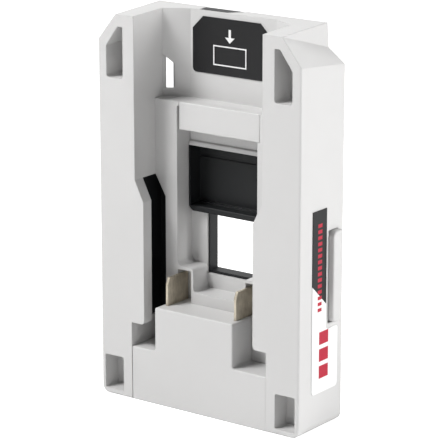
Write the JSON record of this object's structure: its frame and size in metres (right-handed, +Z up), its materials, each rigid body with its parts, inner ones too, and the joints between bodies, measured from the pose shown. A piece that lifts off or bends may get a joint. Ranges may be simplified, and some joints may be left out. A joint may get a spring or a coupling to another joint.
{
  "type": "battery adapter",
  "caption": "Flat upright battery adapter: rails and blade contacts for a slide-in pack in front, a sprung latch with a finger scoop, and side buttons that release it from a device.",
  "frame": {"origin": "middle of the base, under the centre of the bounding box", "axes": "+Z up along the housing, the front face with the battery rails towards -Y, +X to the right as seen from the front"},
  "size_m": [0.0892, 0.0254, 0.1383],
  "materials": {
    "housing_plastic": "fine-grained moulded",
    "black_plastic": "fine-grained moulded",
    "insulator_plastic": "moulded",
    "contact_metal": "nickel-plated strip",
    "spring_steel": "drawn wire",
    "screw_steel": "zinc-plated",
    "label_black": "printed film",
    "label_white": "printed film"
  },
  "bodies": {
    "housing": {"main_housing": "housing_plastic", "terminal_cover": "housing_plastic", "spring_cover": "housing_plastic", "rear_cover": "housing_plastic", "rear_frame": "black_plastic", "rail_liner_left": "black_plastic", "rail_liner_right": "black_plastic", "contact_carrier": "insulator_plastic", "blade_contact_left": "contact_metal", "blade_contact_right": "contact_metal", "bus_bar_left": "contact_metal", "bus_bar_right": "contact_metal", "output_contact_left": "contact_metal", "output_contact_right": "contact_metal", "latch_spring_left": "spring_steel", "latch_spring_right": "spring_steel", "button_spring_left": "spring_steel", "button_spring_right": "spring_steel", "rear_cover_screws": "screw_steel", "frame_screws": "screw_steel", "terminal_cover_screws": "screw_steel", "front_label": "label_black", "side_label": "label_white"},
    "latch": {"latch_slide": "housing_plastic", "finger_scoop": "black_plastic"},
    "left_button": {"release_button_left": "housing_plastic"},
    "right_button": {"release_button_right": "housing_plastic"}
  },
  "joints": [
    {"name": "latch_slide_up", "type": "slide", "parent": "housing", "child": "latch", "axis": [0, 0, 1], "range_m": [0, 0.003], "stiffness_N_per_m": 400, "springref_m": -0.004, "deforming": ["latch_spring_left", "latch_spring_right"]},
    {"name": "left_button_press", "type": "slide", "parent": "housing", "child": "left_button", "axis": [1, 0, 0], "range_m": [0, 0.0018], "stiffness_N_per_m": 400, "springref_m": -0.003, "deforming": ["button_spring_left"]},
    {"name": "right_button_press", "type": "slide", "parent": "housing", "child": "right_button", "axis": [-1, 0, 0], "range_m": [0, 0.0018], "stiffness_N_per_m": 400, "springref_m": -0.003, "deforming": ["button_spring_right"]}
  ]
}
